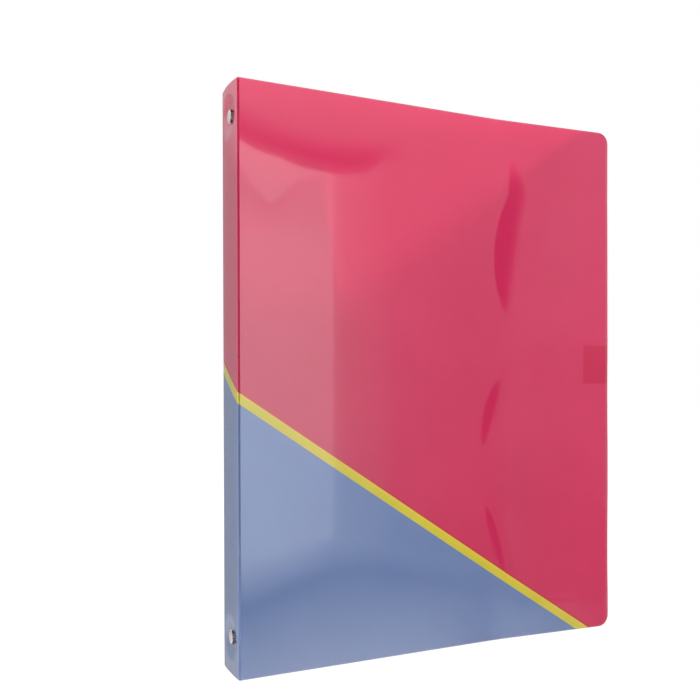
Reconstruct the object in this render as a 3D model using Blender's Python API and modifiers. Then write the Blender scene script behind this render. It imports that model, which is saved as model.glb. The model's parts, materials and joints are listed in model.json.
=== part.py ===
# Four-ring binder standing upright: a scored plastic sheet cover round a riveted ring mechanism.
# Metres, +Z up. The spine faces -X, the front cover faces -Y, and the fore edges point along +X.
# Lengths below are measured from the spine's outer face (x) and the middle of the spine (y).

import math

import bmesh
import bpy

MM = 0.001
CLEARANCE = 0.3 * MM
FRONT = -1
BACK = 1
SIDE_NAMES = {FRONT: "front", BACK: "back"}

# Cover sheet
HEIGHT = 315 * MM
COVER_WIDTH = 244 * MM
SPINE_WIDTH = 28 * MM
SHEET = 0.7 * MM
CORNER_RADIUS = 7 * MM
FOLD_RADIUS = 1.2 * MM
WEB_THICKNESS = 0.35 * MM
WEB_INSET = 0.5 * MM
WEB_STEPS = 6
CORNER_STEPS = 6

# Soft crease that sets the front cover's fore edge outwards
CREASE_START = 154 * MM
CREASE_END = 171 * MM
CREASE_ANGLE = math.radians(4)
CREASE_STEPS = 4

# Diagonal stripe on the unfolded sheet: height of its upper edge at the front fold, fall, drop
STRIPE_HEIGHT = 150.6 * MM
STRIPE_FALL = 0.658
STRIPE_DROP = 6.3 * MM

# Label inside the front cover
LABEL_WIDTH = 17 * MM
LABEL_HEIGHT = 23.5 * MM
LABEL_THICKNESS = 0.2 * MM
LABEL_MARGIN = 1.5 * MM
LABEL_CORNER = 1 * MM
LABEL_LEVEL = 167.3 * MM

# Ring mechanism, in distances from the spine's inner face (rise) and its middle (reach)
MECHANISM_LEVEL = 158.8 * MM
RING_COUNT = 4
RING_PITCH = 80 * MM
RING_BORE = 15 * MM
WIRE = 2.6 * MM
RING_CENTRE_RISE = 12 * MM
RING_STEPS = 12
TIP_GAP = 0.3 * MM
HOUSING_LENGTH = 295 * MM
HOUSING_SHEET = 0.7 * MM
HOUSING_HALF_WIDTH = 9.2 * MM
HOUSING_CROWN = 6.1 * MM
HOUSING_SHOULDER = 2.5 * MM
LIP_RISE = 0.75 * MM
LIP_REACH = 7.0 * MM
LIP_BEND = 0.9 * MM
LIP_STEPS = 4
ARCH_STEPS = 8
NOSE_ROUNDING = 0.75
NOSE_STEPS = 8
SLOT_LENGTH = 3.8 * MM
SLOT_START = 3.9 * MM
SLOT_FLOOR = 2.2 * MM
BLADE_LENGTH = 262 * MM
BLADE_SHEET = 0.9 * MM
BLADE_EDGE = 0.4 * MM
BLADE_END_RADIUS = 1.5 * MM
BLADE_TILT = math.radians(3)
AXIS_REACH = 7.7 * MM
AXIS_RISE = 2.1 * MM
FOOT_INSET = 2.6 * MM
SPIGOT_RADIUS = 0.8 * MM
STAKE_HEIGHT = 0.5 * MM
SHOULDER_HEIGHT = 0.6 * MM
STEP = 0.05 * MM

# Rivets and their collars
RIVET_SPACING = 279 * MM
RIVET_HEAD_RADIUS = 4 * MM
RIVET_DOME = 1.1 * MM
RIVET_RIM = 0.3 * MM
RIVET_SEAT = 0.15 * MM
SHANK_RADIUS = 2 * MM
SHANK_HOLE_RADIUS = 2.3 * MM
CLINCH_RADIUS = 3.2 * MM
CLINCH_HEIGHT = 0.7 * MM
CLINCH_TAPER = 0.8
COLLAR_RADIUS = 3.5 * MM
DOME_STEPS = 5
ROUND_STEPS = 24
HOLE_STEPS = 12
TURN_MERGE = 0.01 * MM

# Working sizes: how far a cutter reaches, how large an axis shows, where shading breaks
CUTTER_DEPTH = 20 * MM
AXIS_SIZE = 20 * MM
SHARP_ANGLE = math.radians(40)

# Colours as linear red, green, blue
CRIMSON = (0.55, 0.035, 0.10)
STEEL_BLUE = (0.16, 0.22, 0.40)
YELLOW = (0.65, 0.55, 0.05)
NICKEL = (0.72, 0.72, 0.70)
SPRING_STEEL = (0.55, 0.56, 0.57)
LABEL_RED = (0.38, 0.02, 0.07)

SPINE_INNER = SHEET
HALF_SPINE = SPINE_WIDTH / 2
COVER_PLANE = HALF_SPINE - SHEET / 2
HINGE_SHIFT = FOLD_RADIUS * (1 - math.pi / 4)
RING_LEVELS = [MECHANISM_LEVEL + RING_PITCH * (i - (RING_COUNT - 1) / 2) for i in range(RING_COUNT)]
RIVET_LEVELS = {"upper": MECHANISM_LEVEL + RIVET_SPACING / 2, "lower": MECHANISM_LEVEL - RIVET_SPACING / 2}
ARCH_RISE = HOUSING_CROWN - HOUSING_SHOULDER
ARCH_RADIUS = (HOUSING_HALF_WIDTH ** 2 + ARCH_RISE ** 2) / (2 * ARCH_RISE)


def clear_scene():
    for obj in list(bpy.data.objects):
        bpy.data.objects.remove(obj, do_unlink=True)


def add_collection(name):
    collection = bpy.data.collections.new(name)
    bpy.context.scene.collection.children.link(collection)
    return collection


def make_material(name, colour, roughness, metallic=0.0):
    material = bpy.data.materials.new(name)
    material.use_nodes = True
    shader = material.node_tree.nodes["Principled BSDF"]
    shader.inputs["Base Color"].default_value = (*colour, 1.0)
    shader.inputs["Roughness"].default_value = roughness
    shader.inputs["Metallic"].default_value = metallic
    material.diffuse_color = (*colour, 1.0)
    return material


def place(obj, parent, location=(0, 0, 0), rotation=(0, 0, 0)):
    obj.parent = parent
    obj.location = location
    obj.rotation_euler = rotation


def add_axis(name, location, parent=None):
    axis = bpy.data.objects.new(name, None)
    axis.empty_display_size = AXIS_SIZE
    parts.objects.link(axis)
    place(axis, parent, location)
    return axis


def add_mesh(name, bm, materials, collection=None):
    mesh = bpy.data.meshes.new(name)
    bm.to_mesh(mesh)
    bm.free()
    for material in materials:
        mesh.materials.append(material)
    obj = bpy.data.objects.new(name, mesh)
    (collection or parts).objects.link(obj)
    return obj


def add_outline(name, loops, thickness, material):
    curve = bpy.data.curves.new(name, "CURVE")
    curve.dimensions = "2D"
    curve.fill_mode = "BOTH"
    curve.extrude = thickness / 2
    for loop in loops:
        spline = curve.splines.new("POLY")
        spline.points.add(len(loop) - 1)
        for point, (x, y) in zip(spline.points, loop):
            point.co = (x, y, 0, 1)
        spline.use_cyclic_u = True
    curve.materials.append(material)
    obj = bpy.data.objects.new(name, curve)
    parts.objects.link(obj)
    return obj


def add_wire(name, stations, material):
    curve = bpy.data.curves.new(name, "CURVE")
    curve.dimensions = "3D"
    curve.bevel_depth = WIRE / 2
    curve.bevel_resolution = 2
    curve.use_fill_caps = True
    spline = curve.splines.new("POLY")
    spline.points.add(len(stations) - 1)
    for point, (x, y, radius) in zip(spline.points, stations):
        point.co = (x, y, 0, 1)
        point.radius = radius / curve.bevel_depth
    spline.use_smooth = True
    curve.materials.append(material)
    obj = bpy.data.objects.new(name, curve)
    parts.objects.link(obj)
    return obj


def thicken(obj, thickness):
    solidify = obj.modifiers.new("thickness", "SOLIDIFY")
    solidify.thickness = thickness
    solidify.offset = 0
    solidify.use_even_offset = True


def cut(obj, cutter, operation="DIFFERENCE"):
    boolean = obj.modifiers.new("cut_" + cutter.name, "BOOLEAN")
    boolean.operation = operation
    boolean.solver = "EXACT"
    boolean.object = cutter


def hide_cutter(cutter):
    cutter.hide_render = True
    cutter.display_type = "WIRE"


def circle(x, y, radius, steps=ROUND_STEPS):
    angles = [2 * math.pi * i / steps for i in range(steps)]
    return [(x + radius * math.cos(a), y + radius * math.sin(a)) for a in angles]


def rounded_rectangle(x0, x1, y0, y1, radius, steps=CORNER_STEPS):
    points = []
    corners = [(x1, y1), (x0, y1), (x0, y0), (x1, y0)]
    for quarter, (x, y) in enumerate(corners):
        centre_x = x - math.copysign(radius, x - (x0 + x1) / 2)
        centre_y = y - math.copysign(radius, y - (y0 + y1) / 2)
        for i in range(steps + 1):
            angle = math.pi / 2 * (quarter + i / steps)
            points.append((centre_x + radius * math.cos(angle), centre_y + radius * math.sin(angle)))
    return points


def crease(s):
    # Place of a point s along the front cover after the crease: distance from the spine, set outwards
    bend_radius = (CREASE_END - CREASE_START) / CREASE_ANGLE
    angle = min(max(s - CREASE_START, 0) / bend_radius, CREASE_ANGLE)
    straight = max(s - CREASE_END, 0)
    along = min(s, CREASE_START) + bend_radius * math.sin(angle) + straight * math.cos(CREASE_ANGLE)
    outward = bend_radius * (1 - math.cos(angle)) + straight * math.sin(CREASE_ANGLE)
    return along, outward


def panel_mesh(x0, x1, stripe_height, stripe_slope, round_corners=False, stations=()):
    # Flat panel in local X (along the sheet) and Y (up), split into its three printed colours
    bm = bmesh.new()
    bmesh.ops.create_grid(bm, x_segments=1, y_segments=1, size=0.5)
    bmesh.ops.scale(bm, vec=(x1 - x0, HEIGHT, 1), verts=bm.verts)
    bmesh.ops.translate(bm, vec=((x0 + x1) / 2, HEIGHT / 2, 0), verts=bm.verts)
    if round_corners:
        corners = [v for v in bm.verts if v.co.x > (x0 + x1) / 2]
        bmesh.ops.bevel(bm, geom=corners, offset=CORNER_RADIUS, offset_type="OFFSET",
                        segments=CORNER_STEPS, profile=0.5, affect="VERTICES")
    for s in stations:
        slice_mesh(bm, (s, 0, 0), (1, 0, 0))
    for drop in (0, STRIPE_DROP):
        slice_mesh(bm, (0, stripe_height - drop, 0), (-stripe_slope, 1, 0))
    for face in bm.faces:
        centre = face.calc_center_median()
        below = stripe_height + stripe_slope * centre.x - centre.y
        face.material_index = 0 if below < 0 else 1 if below < STRIPE_DROP else 2
    return bm


def slice_mesh(bm, point, normal):
    geom = bm.verts[:] + bm.edges[:] + bm.faces[:]
    bmesh.ops.bisect_plane(bm, geom=geom, plane_co=point, plane_no=normal)


def build_front_cover(axis):
    step = (CREASE_END - CREASE_START) / CREASE_STEPS
    stations = [CREASE_START + step * i for i in range(CREASE_STEPS + 1)]
    bm = panel_mesh(SHEET / 2 + FOLD_RADIUS, COVER_WIDTH, STRIPE_HEIGHT, -STRIPE_FALL, True, stations)
    for v in bm.verts:
        v.co.x, v.co.z = crease(v.co.x)
    shift_to_axis(bm, FRONT)
    cover = add_mesh("front_cover", bm, sheet_materials)
    thicken(cover, SHEET)
    place(cover, axis, rotation=(math.pi / 2, 0, 0))


def build_back_cover(axis):
    height = STRIPE_HEIGHT + STRIPE_FALL * SPINE_WIDTH
    bm = panel_mesh(SHEET / 2 + FOLD_RADIUS, COVER_WIDTH, height, STRIPE_FALL, True)
    shift_to_axis(bm, BACK)
    cover = add_mesh("back_cover", bm, sheet_materials)
    thicken(cover, SHEET)
    place(cover, axis, rotation=(math.pi / 2, 0, 0))


def shift_to_axis(bm, side):
    # The hinge lies a little inside the meeting of the panels' middle planes
    bmesh.ops.translate(bm, vec=(-SHEET / 2 - HINGE_SHIFT, 0, -side * HINGE_SHIFT), verts=bm.verts)


def build_spine_panel(origin):
    half = COVER_PLANE - FOLD_RADIUS
    height = STRIPE_HEIGHT + STRIPE_FALL * HALF_SPINE
    bm = panel_mesh(-half, half, height, STRIPE_FALL)
    spine = add_mesh("spine_panel", bm, sheet_materials)
    thicken(spine, SHEET)
    place(spine, origin, (SHEET / 2, 0, 0), (math.pi / 2, 0, math.pi / 2))
    cut(spine, rivet_holes)


def build_hinge_web(side, origin, material):
    # A thin quarter bend, flush with the sheet's inner face and sunk below its outer one
    name = SIDE_NAMES[side] + "_hinge_web"
    radius = FOLD_RADIUS - SHEET / 2 + WEB_THICKNESS / 2
    margin = math.asin(CLEARANCE / radius)
    bm = bmesh.new()
    start = bm.verts.new((-radius * math.cos(margin), side * radius * math.sin(margin), WEB_INSET))
    bmesh.ops.spin(bm, geom=[start], cent=(0, 0, 0), axis=(0, 0, -side),
                   angle=math.pi / 2 - 2 * margin, steps=WEB_STEPS, use_merge=False)
    rail = bmesh.ops.extrude_edge_only(bm, edges=bm.edges[:])
    top = [item for item in rail["geom"] if isinstance(item, bmesh.types.BMVert)]
    bmesh.ops.translate(bm, vec=(0, 0, HEIGHT - 2 * WEB_INSET), verts=top)
    web = add_mesh(name, bm, [material])
    thicken(web, WEB_THICKNESS)
    place(web, origin, (SHEET / 2 + FOLD_RADIUS, side * (COVER_PLANE - FOLD_RADIUS), 0))


def arch_rise(reach):
    # Middle of the housing's arched sheet
    return HOUSING_CROWN - ARCH_RADIUS + math.sqrt(ARCH_RADIUS ** 2 - reach ** 2)


def housing_profile():
    # Half profile from the lip's tip round to the crown, then its mirror image
    lip_centre = (HOUSING_HALF_WIDTH - LIP_BEND, LIP_RISE + LIP_BEND)
    half = [(LIP_REACH, LIP_RISE)]
    for i in range(LIP_STEPS + 1):
        angle = math.pi / 2 * (i / LIP_STEPS - 1)
        half.append((lip_centre[0] + LIP_BEND * math.cos(angle), lip_centre[1] + LIP_BEND * math.sin(angle)))
    spread = math.asin(HOUSING_HALF_WIDTH / ARCH_RADIUS)
    for i in range(ARCH_STEPS):
        reach = ARCH_RADIUS * math.sin(spread * (1 - i / ARCH_STEPS))
        half.append((reach, arch_rise(reach)))
    mirrored = [(-reach, rise) for reach, rise in reversed(half)]
    return half + [(0, HOUSING_CROWN)] + mirrored


def build_housing(origin, material):
    bm = bmesh.new()
    profile = [bm.verts.new((SPINE_INNER + rise, reach, MECHANISM_LEVEL - HOUSING_LENGTH / 2))
               for reach, rise in housing_profile()]
    edges = [bm.edges.new(pair) for pair in zip(profile, profile[1:])]
    ribbon = bmesh.ops.extrude_edge_only(bm, edges=edges)
    far = [item for item in ribbon["geom"] if isinstance(item, bmesh.types.BMVert)]
    bmesh.ops.translate(bm, vec=(0, 0, HOUSING_LENGTH), verts=far)
    bmesh.ops.recalc_face_normals(bm, faces=bm.faces)
    housing = add_mesh("ring_housing", bm, [material])
    thicken(housing, HOUSING_SHEET)
    place(housing, origin)
    cut(housing, build_nose_cutter(origin), "INTERSECT")
    cut(housing, build_slot_cutter(origin))
    cut(housing, rivet_holes)
    housing.data.shade_smooth()
    housing.data.set_sharp_from_angle(angle=SHARP_ANGLE)


def build_nose_cutter(origin):
    # Rounds the housing's ends in plan
    half_width = HOUSING_HALF_WIDTH + HOUSING_SHEET
    half_length = HOUSING_LENGTH / 2 - CLEARANCE
    bm = bmesh.new()
    bmesh.ops.create_cube(bm, size=1)
    bmesh.ops.scale(bm, vec=(CUTTER_DEPTH, 2 * half_width, 2 * half_length), verts=bm.verts)
    upright = [e for e in bm.edges if abs(e.verts[0].co.x - e.verts[1].co.x) > CUTTER_DEPTH / 2]
    bmesh.ops.bevel(bm, geom=upright, offset=half_width * NOSE_ROUNDING, offset_type="OFFSET",
                    segments=NOSE_STEPS, profile=0.5, affect="EDGES")
    cutter = add_mesh("housing_ends", bm, [], cutters)
    place(cutter, origin, (SPINE_INNER + CUTTER_DEPTH / 4, 0, MECHANISM_LEVEL))
    hide_cutter(cutter)
    return cutter


def build_slot_cutter(origin):
    # Notches in the housing where the half rings pass through it
    reach = HOUSING_HALF_WIDTH + 2 * HOUSING_SHEET - SLOT_START
    bm = bmesh.new()
    for level in RING_LEVELS:
        for side in (FRONT, BACK):
            box = bmesh.ops.create_cube(bm, size=1)["verts"]
            bmesh.ops.scale(bm, vec=(CUTTER_DEPTH, reach, SLOT_LENGTH), verts=box)
            bmesh.ops.translate(bm, vec=(SPINE_INNER + SLOT_FLOOR + CUTTER_DEPTH / 2,
                                         side * (SLOT_START + reach / 2), level), verts=box)
    cutter = add_mesh("ring_slots", bm, [], cutters)
    place(cutter, origin)
    hide_cutter(cutter)
    return cutter


def build_rivet_hole_cutter(origin):
    bm = bmesh.new()
    for level in RIVET_LEVELS.values():
        drill = bmesh.ops.create_cone(bm, cap_ends=True, segments=ROUND_STEPS, radius1=SHANK_HOLE_RADIUS,
                                      radius2=SHANK_HOLE_RADIUS, depth=2 * CUTTER_DEPTH)["verts"]
        bmesh.ops.translate(bm, vec=(-level, 0, 0), verts=drill)
    cutter = add_mesh("rivet_holes", bm, [], cutters)
    place(cutter, origin, rotation=(0, math.pi / 2, 0))
    hide_cutter(cutter)
    return cutter


def blade_direction(side):
    # Turn about Z that points a blade's local X from its axis towards the spine's middle
    return -side * (math.pi / 2 + BLADE_TILT)


def build_blade(side, axis, material):
    width = AXIS_REACH - CLEARANCE
    half_length = BLADE_LENGTH / 2
    outline = rounded_rectangle(-BLADE_EDGE, width, -half_length, half_length, BLADE_END_RADIUS)
    holes = [circle(FOOT_INSET, level - MECHANISM_LEVEL, SPIGOT_RADIUS + CLEARANCE, HOLE_STEPS)
             for level in RING_LEVELS]
    blade = add_outline(SIDE_NAMES[side] + "_blade", [outline] + holes, BLADE_SHEET, material)
    place(blade, axis, rotation=(math.pi / 2, 0, blade_direction(side)))


def half_ring_stations():
    # Reach, rise and wire radius from the stake under the blade, up the leg and round to the tip
    wire = WIRE / 2
    inward = (-math.cos(BLADE_TILT), -math.sin(BLADE_TILT))
    upward = (-math.sin(BLADE_TILT), math.cos(BLADE_TILT))
    foot = (AXIS_REACH + inward[0] * FOOT_INSET, AXIS_RISE + inward[1] * FOOT_INSET)
    seat = BLADE_SHEET / 2 + CLEARANCE / 2
    stake = SPIGOT_RADIUS + 2 * CLEARANCE
    heights = [(-seat - STAKE_HEIGHT, stake), (-seat - STEP, stake), (-seat, SPIGOT_RADIUS),
               (seat, SPIGOT_RADIUS), (seat + STEP, wire), (seat + SHOULDER_HEIGHT, wire)]
    stations = [(foot[0] + upward[0] * h, foot[1] + upward[1] * h, r) for h, r in heights]
    radius = (RING_BORE + WIRE) / 2
    leg_reach, leg_rise, _ = stations[-1]
    fall = RING_CENTRE_RISE - leg_rise
    tangent = math.atan2(fall, leg_reach) - math.acos(radius / math.hypot(leg_reach, fall))
    tip = math.pi / 2 - TIP_GAP / 2 / radius
    for i in range(RING_STEPS + 1):
        angle = -tangent + (tip + tangent) * i / RING_STEPS
        stations.append((radius * math.cos(angle), RING_CENTRE_RISE + radius * math.sin(angle), wire))
    return stations


def build_half_ring(side, number, axis, material):
    name = f"{SIDE_NAMES[side]}_half_ring_{number}"
    stations = [(rise - AXIS_RISE, side * (reach - AXIS_REACH), radius)
                for reach, rise, radius in half_ring_stations()]
    ring = add_wire(name, stations, material)
    place(ring, axis, (0, 0, RING_LEVELS[number - 1] - MECHANISM_LEVEL))


def build_rivet(end, origin, material):
    # Turned about local Z, which points out of the spine; the far end is clinched over the housing
    rim = RIVET_SEAT + RIVET_RIM
    clinch = -(SHEET + HOUSING_CROWN + HOUSING_SHEET / 2 + RIVET_SEAT)
    dome_radius = (RIVET_HEAD_RADIUS ** 2 + RIVET_DOME ** 2) / (2 * RIVET_DOME)
    spread = math.asin(RIVET_HEAD_RADIUS / dome_radius)
    profile = []
    for i in range(DOME_STEPS + 1):
        angle = spread * i / DOME_STEPS
        sink = dome_radius * (1 - math.cos(angle))
        profile.append((dome_radius * math.sin(angle), rim + RIVET_DOME - sink))
    profile += [(RIVET_HEAD_RADIUS, RIVET_SEAT), (SHANK_RADIUS, RIVET_SEAT), (SHANK_RADIUS, clinch),
                (CLINCH_RADIUS, clinch), (CLINCH_RADIUS * CLINCH_TAPER, clinch - CLINCH_HEIGHT),
                (0, clinch - CLINCH_HEIGHT)]
    bm = bmesh.new()
    verts = [bm.verts.new((radius, 0, height)) for radius, height in profile]
    for pair in zip(verts, verts[1:]):
        bm.edges.new(pair)
    rivet = add_mesh(end + "_rivet", bm, [material])
    screw = rivet.modifiers.new("turn", "SCREW")
    screw.axis = "Z"
    screw.steps = ROUND_STEPS
    screw.render_steps = ROUND_STEPS
    screw.use_merge_vertices = True
    screw.merge_threshold = TURN_MERGE
    place(rivet, origin, (0, 0, RIVET_LEVELS[end]), (0, -math.pi / 2, 0))


def build_collar(end, origin, material):
    top = arch_rise(COLLAR_RADIUS) - HOUSING_SHEET - CLEARANCE
    loops = [circle(0, 0, COLLAR_RADIUS), circle(0, 0, SHANK_HOLE_RADIUS)]
    collar = add_outline(end + "_collar", loops, top - CLEARANCE, material)
    middle = SPINE_INNER + (CLEARANCE + top) / 2
    place(collar, origin, (middle, 0, RIVET_LEVELS[end]), (0, math.pi / 2, 0))


def build_label(axis, material):
    half_width = LABEL_WIDTH / 2
    half_height = LABEL_HEIGHT / 2
    outline = rounded_rectangle(-half_width, half_width, -half_height, half_height, LABEL_CORNER)
    label = add_outline("index_label", [outline], LABEL_THICKNESS, material)
    along, outward = crease(COVER_WIDTH - LABEL_MARGIN - half_width)
    inset = SHEET / 2 + CLEARANCE + LABEL_THICKNESS / 2
    x = along + inset * math.sin(CREASE_ANGLE) - SHEET / 2 - HINGE_SHIFT
    y = -outward + inset * math.cos(CREASE_ANGLE) - HINGE_SHIFT
    place(label, axis, (x, y, LABEL_LEVEL), (math.pi / 2, 0, -CREASE_ANGLE))


clear_scene()
parts = add_collection("four_ring_binder")
cutters = add_collection("cutters")
sheet_materials = [make_material("crimson_sheet", CRIMSON, 0.25), make_material("stripe_ink", YELLOW, 0.25),
                   make_material("blue_sheet", STEEL_BLUE, 0.25)]
web_material = make_material("scored_sheet", CRIMSON, 0.4)
ring_nickel = make_material("ring_nickel", NICKEL, 0.15, 1.0)
housing_nickel = make_material("housing_nickel", NICKEL, 0.22, 1.0)
blade_steel = make_material("blade_steel", SPRING_STEEL, 0.35, 1.0)
rivet_nickel = make_material("rivet_nickel", NICKEL, 0.2, 1.0)
label_film = make_material("label_film", LABEL_RED, 0.5)

# The origin lies at the middle of the standing binder's box, on the surface it stands on
rivet_out = RIVET_SEAT + RIVET_RIM + RIVET_DOME
front_out = COVER_PLANE + crease(COVER_WIDTH)[1] + SHEET / 2 * math.cos(CREASE_ANGLE)
binder = add_axis("binder_origin", ((rivet_out - COVER_WIDTH) / 2, (front_out - HALF_SPINE) / 2, 0))
rivet_holes = build_rivet_hole_cutter(binder)

build_spine_panel(binder)
build_housing(binder, housing_nickel)
for end_name in RIVET_LEVELS:
    build_rivet(end_name, binder, rivet_nickel)
    build_collar(end_name, binder, blade_steel)
for which in (FRONT, BACK):
    side_name = SIDE_NAMES[which]
    build_hinge_web(which, binder, web_material)
    hinge = add_axis(side_name + "_cover_hinge",
                     (SHEET / 2 + HINGE_SHIFT, which * (COVER_PLANE - HINGE_SHIFT), 0), binder)
    if which == FRONT:
        build_front_cover(hinge)
        build_label(hinge, label_film)
    else:
        build_back_cover(hinge)
    pivot = add_axis(side_name + "_blade_pivot",
                     (SPINE_INNER + AXIS_RISE, which * AXIS_REACH, MECHANISM_LEVEL), binder)
    build_blade(which, pivot, blade_steel)
    for ring_number in range(1, RING_COUNT + 1):
        build_half_ring(which, ring_number, pivot, ring_nickel)
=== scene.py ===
# Four-ring binder: finishes, studio and camera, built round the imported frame

import json
import math

import bmesh
import bpy
from mathutils import Matrix, Vector, noise


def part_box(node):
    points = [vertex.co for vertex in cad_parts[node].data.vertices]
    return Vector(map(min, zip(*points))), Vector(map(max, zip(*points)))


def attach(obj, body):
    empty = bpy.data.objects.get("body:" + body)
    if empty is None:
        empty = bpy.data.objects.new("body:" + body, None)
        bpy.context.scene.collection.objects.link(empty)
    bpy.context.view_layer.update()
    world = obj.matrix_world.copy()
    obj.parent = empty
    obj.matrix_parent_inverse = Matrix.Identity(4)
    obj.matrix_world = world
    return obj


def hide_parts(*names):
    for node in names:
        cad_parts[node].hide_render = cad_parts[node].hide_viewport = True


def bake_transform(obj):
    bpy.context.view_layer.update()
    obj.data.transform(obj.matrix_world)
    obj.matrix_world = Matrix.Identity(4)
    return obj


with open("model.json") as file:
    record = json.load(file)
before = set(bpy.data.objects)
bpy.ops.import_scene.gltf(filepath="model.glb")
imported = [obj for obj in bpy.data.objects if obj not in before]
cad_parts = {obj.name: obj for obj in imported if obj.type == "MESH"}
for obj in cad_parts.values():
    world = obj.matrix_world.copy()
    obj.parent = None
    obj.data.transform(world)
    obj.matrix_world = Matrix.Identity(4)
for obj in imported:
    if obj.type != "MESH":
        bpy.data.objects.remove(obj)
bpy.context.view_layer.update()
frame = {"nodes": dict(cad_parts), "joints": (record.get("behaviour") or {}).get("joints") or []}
print("frame loaded:", len(frame["nodes"]), "nodes")

# Measures read from the frame
spineLow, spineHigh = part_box("spine_panel")
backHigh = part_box("back_cover")[1]
labelLow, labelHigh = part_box("index_label")
spineFace = spineLow.x                                # outer face of the spine
middle = (spineLow.y + spineHigh.y) / 2               # middle of the spine, front to back
height = spineHigh.z
gauge = spineHigh.x - spineLow.x                      # thickness of the cover sheet
inner = spineFace + gauge                             # inner face of the spine
coverPlane = backHigh.y - gauge / 2 - middle          # from the spine's middle to that of a cover's sheet
coverWidth = backHigh.x - spineFace
ringNumbers = range(1, 5)
jointPlaces = {joint["name"]: Vector(joint["pos_m"]) for joint in frame["joints"]}


def boxCentre(node):
    low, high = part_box(node)
    return (low + high) / 2


rivetLevels = {end: boxCentre(end + "_rivet").z for end in ("upper", "lower")}
ringLevels = [boxCentre(f"front_half_ring_{number}").z for number in ringNumbers]


# Small helpers for pieces

def meshPiece(name, bm, *looks, sharp=None):
    mesh = bpy.data.meshes.new(name)
    bm.to_mesh(mesh)
    bm.free()
    for look in looks:
        mesh.materials.append(look)
    mesh.shade_smooth()
    if sharp:
        mesh.set_sharp_from_angle(angle=sharp)
    piece = bpy.data.objects.new(name, mesh)
    bpy.context.scene.collection.objects.link(piece)
    return piece


def standsFor(piece, slot, *nodes):
    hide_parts(*nodes)
    print("made", piece.name)


def slab(left, right, low, high, thick, edgeRound, corner=0.0, cornerSides=(), sharpSides=()):
    # flat plate as (along, up, out from its inner face), with rounded corners and softened edges
    bm = bmesh.new()
    bmesh.ops.create_cube(bm, size=1.0)
    bmesh.ops.scale(bm, vec=(right - left, high - low, thick), verts=bm.verts)
    bmesh.ops.translate(bm, vec=((left + right) / 2, (low + high) / 2, thick / 2), verts=bm.verts)

    def liesOn(edge, sides):
        return any(all(abs(v.co.x - side) < 1e-6 for v in edge.verts) for side in sides)

    def isUpright(edge):
        return abs(edge.verts[0].co.z - edge.verts[1].co.z) > thick / 2

    if corner:
        uprights = [e for e in bm.edges if isUpright(e) and liesOn(e, cornerSides)]
        bmesh.ops.bevel(bm, geom=uprights, offset=corner, offset_type="OFFSET", affect="EDGES", segments=8,
                        profile=0.5, material=-1)
    rims = [e for e in bm.edges if not isUpright(e) and not liesOn(e, sharpSides)]
    bmesh.ops.bevel(bm, geom=rims, offset=edgeRound, offset_type="OFFSET", affect="EDGES", segments=2,
                    profile=0.5, material=-1)
    return bm


def vertsIn(geom):
    return [item for item in geom if isinstance(item, bmesh.types.BMVert)]


def cutAcross(bm, place, normal):
    geom = bm.verts[:] + bm.edges[:] + bm.faces[:]
    bmesh.ops.bisect_plane(bm, geom=geom, dist=1e-7, plane_co=place, plane_no=normal)


def cutGrid(bm, columns, rows):
    for u in columns:
        cutAcross(bm, (u, 0, 0), (1, 0, 0))
    for z in rows:
        cutAcross(bm, (0, z, 0), (0, 1, 0))


def stations(start, end, step):
    count = max(1, round(abs(end - start) / step))
    return [start + (end - start) * i / count for i in range(count + 1)]


def easeIn(value, low, high):
    share = min(max((value - low) / (high - low), 0.0), 1.0)
    return share * share * (3 - 2 * share)


# Small helpers for shader nodes

def addNode(tree, kind, sockets=None, **settings):
    node = tree.nodes.new(kind)
    for key, value in settings.items():
        setattr(node, key, value)
    for key, value in (sockets or {}).items():
        if isinstance(value, bpy.types.NodeSocket):
            tree.links.new(value, node.inputs[key])
        else:
            node.inputs[key].default_value = value
    return node


def calc(tree, operation, *values):
    return addNode(tree, "ShaderNodeMath", dict(enumerate(values)), operation=operation).outputs[0]


def rangeOf(tree, value, low, high, toLow=0.0, toHigh=1.0):
    sockets = {"Value": value, "From Min": low, "From Max": high, "To Min": toLow, "To Max": toHigh}
    return addNode(tree, "ShaderNodeMapRange", sockets, interpolation_type="SMOOTHSTEP").outputs[0]


black = (0, 0, 0)
white = (1, 1, 1)


def opaque(colour):
    return (*colour, 1.0)


def mixColour(tree, share, first, second, blend="MIX"):
    # each colour is a socket or three numbers
    first, second = (opaque(colour) if isinstance(colour, tuple) else colour for colour in (first, second))
    sockets = {0: share, 6: first, 7: second}
    node = addNode(tree, "ShaderNodeMix", sockets, data_type="RGBA", blend_type=blend)
    return node.outputs[2]


def noiseOf(tree, vector, scale, detail=2.0, roughness=0.5):
    sockets = {"Vector": vector, "Scale": scale, "Detail": detail, "Roughness": roughness}
    return addNode(tree, "ShaderNodeTexNoise", sockets).outputs["Fac"]


def patches(tree, vector, scale, detail, low, high, roughness=0.5):
    # noise whose low and high values become 0 and 1
    return rangeOf(tree, noiseOf(tree, vector, scale, detail, roughness), low, high)


def stretched(tree, vector, scale, turn=(0, 0, 0)):
    sockets = {"Vector": vector, "Scale": scale, "Rotation": turn}
    return addNode(tree, "ShaderNodeMapping", sockets).outputs["Vector"]


def newLook(name, **values):
    look = bpy.data.materials.new(name)
    look.use_nodes = True
    shader = look.node_tree.nodes["Principled BSDF"]
    for key, value in values.items():
        shader.inputs[key].default_value = value
    return look, look.node_tree, shader


def bareLook(name):
    look = bpy.data.materials.new(name)
    look.use_nodes = True
    look.node_tree.nodes.clear()
    return look, look.node_tree


def addBump(tree, shader, relief, strength, distance):
    sockets = {"Height": relief, "Strength": strength, "Distance": distance}
    bump = addNode(tree, "ShaderNodeBump", sockets)
    tree.links.new(bump.outputs["Normal"], shader.inputs["Normal"])


# Printed plastic sheet. Its map runs along the unfolded sheet from the front fold, and up, in metres

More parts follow.
